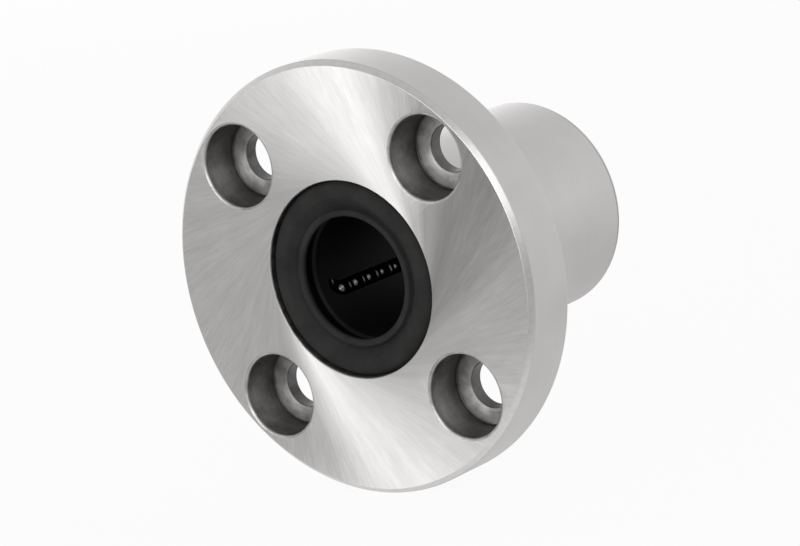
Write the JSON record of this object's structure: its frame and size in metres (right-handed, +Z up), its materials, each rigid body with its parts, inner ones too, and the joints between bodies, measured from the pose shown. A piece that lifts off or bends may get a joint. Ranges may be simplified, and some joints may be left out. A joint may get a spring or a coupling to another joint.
{
  "type": "flanged linear ball bearing",
  "caption": "Linear ball bearing with a round counterbored flange, steel sleeve, sealed ends and recirculating ball rows that carry a sliding shaft.",
  "frame": {"origin": "on the bore axis, in the plane of the flange's seat face that lies against the housing", "axes": "+Y along the bore from the flange to the tail, +Z up, screw holes at 45 degrees to X and Z"},
  "size_m": [0.042, 0.03, 0.042],
  "materials": {
    "sleeve_steel": "turned and ground satin steel",
    "ring_steel": "stamped steel with a black oxide",
    "ball_steel": "polished bearing balls with an oil film",
    "cage_resin": "moulded black resin",
    "seal_rubber": "moulded matte rubber"
  },
  "bodies": {
    "housing": {"flanged_sleeve": "sleeve_steel", "ball_retainer": "cage_resin", "front_end_ring": "ring_steel", "rear_end_ring": "ring_steel", "front_seal": "seal_rubber", "rear_seal": "seal_rubber", "return_balls_1": "ball_steel", "return_balls_2": "ball_steel", "return_balls_3": "ball_steel", "return_balls_4": "ball_steel"},
    "loaded_ball_1_1": {"loaded_ball_1_1": "ball_steel"},
    "loaded_ball_1_2": {"loaded_ball_1_2": "ball_steel"},
    "loaded_ball_1_3": {"loaded_ball_1_3": "ball_steel"},
    "loaded_ball_1_4": {"loaded_ball_1_4": "ball_steel"},
    "loaded_ball_1_5": {"loaded_ball_1_5": "ball_steel"},
    "loaded_ball_1_6": {"loaded_ball_1_6": "ball_steel"},
    "loaded_ball_1_7": {"loaded_ball_1_7": "ball_steel"},
    "loaded_ball_1_8": {"loaded_ball_1_8": "ball_steel"},
    "loaded_ball_1_9": {"loaded_ball_1_9": "ball_steel"},
    "loaded_ball_2_1": {"loaded_ball_2_1": "ball_steel"},
    "loaded_ball_2_2": {"loaded_ball_2_2": "ball_steel"},
    "loaded_ball_2_3": {"loaded_ball_2_3": "ball_steel"},
    "loaded_ball_2_4": {"loaded_ball_2_4": "ball_steel"},
    "loaded_ball_2_5": {"loaded_ball_2_5": "ball_steel"},
    "loaded_ball_2_6": {"loaded_ball_2_6": "ball_steel"},
    "loaded_ball_2_7": {"loaded_ball_2_7": "ball_steel"},
    "loaded_ball_2_8": {"loaded_ball_2_8": "ball_steel"},
    "loaded_ball_2_9": {"loaded_ball_2_9": "ball_steel"},
    "loaded_ball_3_1": {"loaded_ball_3_1": "ball_steel"},
    "loaded_ball_3_2": {"loaded_ball_3_2": "ball_steel"},
    "loaded_ball_3_3": {"loaded_ball_3_3": "ball_steel"},
    "loaded_ball_3_4": {"loaded_ball_3_4": "ball_steel"},
    "loaded_ball_3_5": {"loaded_ball_3_5": "ball_steel"},
    "loaded_ball_3_6": {"loaded_ball_3_6": "ball_steel"},
    "loaded_ball_3_7": {"loaded_ball_3_7": "ball_steel"},
    "loaded_ball_3_8": {"loaded_ball_3_8": "ball_steel"},
    "loaded_ball_3_9": {"loaded_ball_3_9": "ball_steel"},
    "loaded_ball_4_1": {"loaded_ball_4_1": "ball_steel"},
    "loaded_ball_4_2": {"loaded_ball_4_2": "ball_steel"},
    "loaded_ball_4_3": {"loaded_ball_4_3": "ball_steel"},
    "loaded_ball_4_4": {"loaded_ball_4_4": "ball_steel"},
    "loaded_ball_4_5": {"loaded_ball_4_5": "ball_steel"},
    "loaded_ball_4_6": {"loaded_ball_4_6": "ball_steel"},
    "loaded_ball_4_7": {"loaded_ball_4_7": "ball_steel"},
    "loaded_ball_4_8": {"loaded_ball_4_8": "ball_steel"},
    "loaded_ball_4_9": {"loaded_ball_4_9": "ball_steel"}
  },
  "joints": [
    {"name": "ball_roll_1_1", "type": "hinge", "parent": "housing", "child": "loaded_ball_1_1", "pos_m": [0.00658, 0.0004, 0.00239], "axis": [0.342, 0, -0.9397], "continuous": true},
    {"name": "ball_roll_1_2", "type": "hinge", "parent": "housing", "child": "loaded_ball_1_2", "pos_m": [0.00658, 0.00255, 0.00239], "axis": [0.342, 0, -0.9397], "continuous": true},
    {"name": "ball_roll_1_3", "type": "hinge", "parent": "housing", "child": "loaded_ball_1_3", "pos_m": [0.00658, 0.0047, 0.00239], "axis": [0.342, 0, -0.9397], "continuous": true},
    {"name": "ball_roll_1_4", "type": "hinge", "parent": "housing", "child": "loaded_ball_1_4", "pos_m": [0.00658, 0.00685, 0.00239], "axis": [0.342, 0, -0.9397], "continuous": true},
    {"name": "ball_roll_1_5", "type": "hinge", "parent": "housing", "child": "loaded_ball_1_5", "pos_m": [0.00658, 0.009, 0.00239], "axis": [0.342, 0, -0.9397], "continuous": true},
    {"name": "ball_roll_1_6", "type": "hinge", "parent": "housing", "child": "loaded_ball_1_6", "pos_m": [0.00658, 0.01115, 0.00239], "axis": [0.342, 0, -0.9397], "continuous": true},
    {"name": "ball_roll_1_7", "type": "hinge", "parent": "housing", "child": "loaded_ball_1_7", "pos_m": [0.00658, 0.0133, 0.00239], "axis": [0.342, 0, -0.9397], "continuous": true},
    {"name": "ball_roll_1_8", "type": "hinge", "parent": "housing", "child": "loaded_ball_1_8", "pos_m": [0.00658, 0.01545, 0.00239], "axis": [0.342, 0, -0.9397], "continuous": true},
    {"name": "ball_roll_1_9", "type": "hinge", "parent": "housing", "child": "loaded_ball_1_9", "pos_m": [0.00658, 0.0176, 0.00239], "axis": [0.342, 0, -0.9397], "continuous": true},
    {"name": "ball_roll_2_1", "type": "hinge", "parent": "housing", "child": "loaded_ball_2_1", "pos_m": [-0.00239, 0.0004, 0.00658], "axis": [0.9397, 0, 0.342], "continuous": true},
    {"name": "ball_roll_2_2", "type": "hinge", "parent": "housing", "child": "loaded_ball_2_2", "pos_m": [-0.00239, 0.00255, 0.00658], "axis": [0.9397, 0, 0.342], "continuous": true},
    {"name": "ball_roll_2_3", "type": "hinge", "parent": "housing", "child": "loaded_ball_2_3", "pos_m": [-0.00239, 0.0047, 0.00658], "axis": [0.9397, 0, 0.342], "continuous": true},
    {"name": "ball_roll_2_4", "type": "hinge", "parent": "housing", "child": "loaded_ball_2_4", "pos_m": [-0.00239, 0.00685, 0.00658], "axis": [0.9397, 0, 0.342], "continuous": true},
    {"name": "ball_roll_2_5", "type": "hinge", "parent": "housing", "child": "loaded_ball_2_5", "pos_m": [-0.00239, 0.009, 0.00658], "axis": [0.9397, 0, 0.342], "continuous": true},
    {"name": "ball_roll_2_6", "type": "hinge", "parent": "housing", "child": "loaded_ball_2_6", "pos_m": [-0.00239, 0.01115, 0.00658], "axis": [0.9397, 0, 0.342], "continuous": true},
    {"name": "ball_roll_2_7", "type": "hinge", "parent": "housing", "child": "loaded_ball_2_7", "pos_m": [-0.00239, 0.0133, 0.00658], "axis": [0.9397, 0, 0.342], "continuous": true},
    {"name": "ball_roll_2_8", "type": "hinge", "parent": "housing", "child": "loaded_ball_2_8", "pos_m": [-0.00239, 0.01545, 0.00658], "axis": [0.9397, 0, 0.342], "continuous": true},
    {"name": "ball_roll_2_9", "type": "hinge", "parent": "housing", "child": "loaded_ball_2_9", "pos_m": [-0.00239, 0.0176, 0.00658], "axis": [0.9397, 0, 0.342], "continuous": true},
    {"name": "ball_roll_3_1", "type": "hinge", "parent": "housing", "child": "loaded_ball_3_1", "pos_m": [-0.00658, 0.0004, -0.00239], "axis": [-0.342, 0, 0.9397], "continuous": true},
    {"name": "ball_roll_3_2", "type": "hinge", "parent": "housing", "child": "loaded_ball_3_2", "pos_m": [-0.00658, 0.00255, -0.00239], "axis": [-0.342, 0, 0.9397], "continuous": true},
    {"name": "ball_roll_3_3", "type": "hinge", "parent": "housing", "child": "loaded_ball_3_3", "pos_m": [-0.00658, 0.0047, -0.00239], "axis": [-0.342, 0, 0.9397], "continuous": true},
    {"name": "ball_roll_3_4", "type": "hinge", "parent": "housing", "child": "loaded_ball_3_4", "pos_m": [-0.00658, 0.00685, -0.00239], "axis": [-0.342, 0, 0.9397], "continuous": true},
    {"name": "ball_roll_3_5", "type": "hinge", "parent": "housing", "child": "loaded_ball_3_5", "pos_m": [-0.00658, 0.009, -0.00239], "axis": [-0.342, 0, 0.9397], "continuous": true},
    {"name": "ball_roll_3_6", "type": "hinge", "parent": "housing", "child": "loaded_ball_3_6", "pos_m": [-0.00658, 0.01115, -0.00239], "axis": [-0.342, 0, 0.9397], "continuous": true},
    {"name": "ball_roll_3_7", "type": "hinge", "parent": "housing", "child": "loaded_ball_3_7", "pos_m": [-0.00658, 0.0133, -0.00239], "axis": [-0.342, 0, 0.9397], "continuous": true},
    {"name": "ball_roll_3_8", "type": "hinge", "parent": "housing", "child": "loaded_ball_3_8", "pos_m": [-0.00658, 0.01545, -0.00239], "axis": [-0.342, 0, 0.9397], "continuous": true},
    {"name": "ball_roll_3_9", "type": "hinge", "parent": "housing", "child": "loaded_ball_3_9", "pos_m": [-0.00658, 0.0176, -0.00239], "axis": [-0.342, 0, 0.9397], "continuous": true},
    {"name": "ball_roll_4_1", "type": "hinge", "parent": "housing", "child": "loaded_ball_4_1", "pos_m": [0.00239, 0.0004, -0.00658], "axis": [-0.9397, 0, -0.342], "continuous": true},
    {"name": "ball_roll_4_2", "type": "hinge", "parent": "housing", "child": "loaded_ball_4_2", "pos_m": [0.00239, 0.00255, -0.00658], "axis": [-0.9397, 0, -0.342], "continuous": true},
    {"name": "ball_roll_4_3", "type": "hinge", "parent": "housing", "child": "loaded_ball_4_3", "pos_m": [0.00239, 0.0047, -0.00658], "axis": [-0.9397, 0, -0.342], "continuous": true},
    {"name": "ball_roll_4_4", "type": "hinge", "parent": "housing", "child": "loaded_ball_4_4", "pos_m": [0.00239, 0.00685, -0.00658], "axis": [-0.9397, 0, -0.342], "continuous": true},
    {"name": "ball_roll_4_5", "type": "hinge", "parent": "housing", "child": "loaded_ball_4_5", "pos_m": [0.00239, 0.009, -0.00658], "axis": [-0.9397, 0, -0.342], "continuous": true},
    {"name": "ball_roll_4_6", "type": "hinge", "parent": "housing", "child": "loaded_ball_4_6", "pos_m": [0.00239, 0.01115, -0.00658], "axis": [-0.9397, 0, -0.342], "continuous": true},
    {"name": "ball_roll_4_7", "type": "hinge", "parent": "housing", "child": "loaded_ball_4_7", "pos_m": [0.00239, 0.0133, -0.00658], "axis": [-0.9397, 0, -0.342], "continuous": true},
    {"name": "ball_roll_4_8", "type": "hinge", "parent": "housing", "child": "loaded_ball_4_8", "pos_m": [0.00239, 0.01545, -0.00658], "axis": [-0.9397, 0, -0.342], "continuous": true},
    {"name": "ball_roll_4_9", "type": "hinge", "parent": "housing", "child": "loaded_ball_4_9", "pos_m": [0.00239, 0.0176, -0.00658], "axis": [-0.9397, 0, -0.342], "continuous": true}
  ],
  "couplings": [
    {"joint": "ball_roll_1_2", "follows": "ball_roll_1_1", "ratio": 1},
    {"joint": "ball_roll_1_3", "follows": "ball_roll_1_1", "ratio": 1},
    {"joint": "ball_roll_1_4", "follows": "ball_roll_1_1", "ratio": 1},
    {"joint": "ball_roll_1_5", "follows": "ball_roll_1_1", "ratio": 1},
    {"joint": "ball_roll_1_6", "follows": "ball_roll_1_1", "ratio": 1},
    {"joint": "ball_roll_1_7", "follows": "ball_roll_1_1", "ratio": 1},
    {"joint": "ball_roll_1_8", "follows": "ball_roll_1_1", "ratio": 1},
    {"joint": "ball_roll_1_9", "follows": "ball_roll_1_1", "ratio": 1},
    {"joint": "ball_roll_2_1", "follows": "ball_roll_1_1", "ratio": 1},
    {"joint": "ball_roll_2_2", "follows": "ball_roll_1_1", "ratio": 1},
    {"joint": "ball_roll_2_3", "follows": "ball_roll_1_1", "ratio": 1},
    {"joint": "ball_roll_2_4", "follows": "ball_roll_1_1", "ratio": 1},
    {"joint": "ball_roll_2_5", "follows": "ball_roll_1_1", "ratio": 1},
    {"joint": "ball_roll_2_6", "follows": "ball_roll_1_1", "ratio": 1},
    {"joint": "ball_roll_2_7", "follows": "ball_roll_1_1", "ratio": 1},
    {"joint": "ball_roll_2_8", "follows": "ball_roll_1_1", "ratio": 1},
    {"joint": "ball_roll_2_9", "follows": "ball_roll_1_1", "ratio": 1},
    {"joint": "ball_roll_3_1", "follows": "ball_roll_1_1", "ratio": 1},
    {"joint": "ball_roll_3_2", "follows": "ball_roll_1_1", "ratio": 1},
    {"joint": "ball_roll_3_3", "follows": "ball_roll_1_1", "ratio": 1},
    {"joint": "ball_roll_3_4", "follows": "ball_roll_1_1", "ratio": 1},
    {"joint": "ball_roll_3_5", "follows": "ball_roll_1_1", "ratio": 1},
    {"joint": "ball_roll_3_6", "follows": "ball_roll_1_1", "ratio": 1},
    {"joint": "ball_roll_3_7", "follows": "ball_roll_1_1", "ratio": 1},
    {"joint": "ball_roll_3_8", "follows": "ball_roll_1_1", "ratio": 1},
    {"joint": "ball_roll_3_9", "follows": "ball_roll_1_1", "ratio": 1},
    {"joint": "ball_roll_4_1", "follows": "ball_roll_1_1", "ratio": 1},
    {"joint": "ball_roll_4_2", "follows": "ball_roll_1_1", "ratio": 1},
    {"joint": "ball_roll_4_3", "follows": "ball_roll_1_1", "ratio": 1},
    {"joint": "ball_roll_4_4", "follows": "ball_roll_1_1", "ratio": 1},
    {"joint": "ball_roll_4_5", "follows": "ball_roll_1_1", "ratio": 1},
    {"joint": "ball_roll_4_6", "follows": "ball_roll_1_1", "ratio": 1},
    {"joint": "ball_roll_4_7", "follows": "ball_roll_1_1", "ratio": 1},
    {"joint": "ball_roll_4_8", "follows": "ball_roll_1_1", "ratio": 1},
    {"joint": "ball_roll_4_9", "follows": "ball_roll_1_1", "ratio": 1}
  ]
}
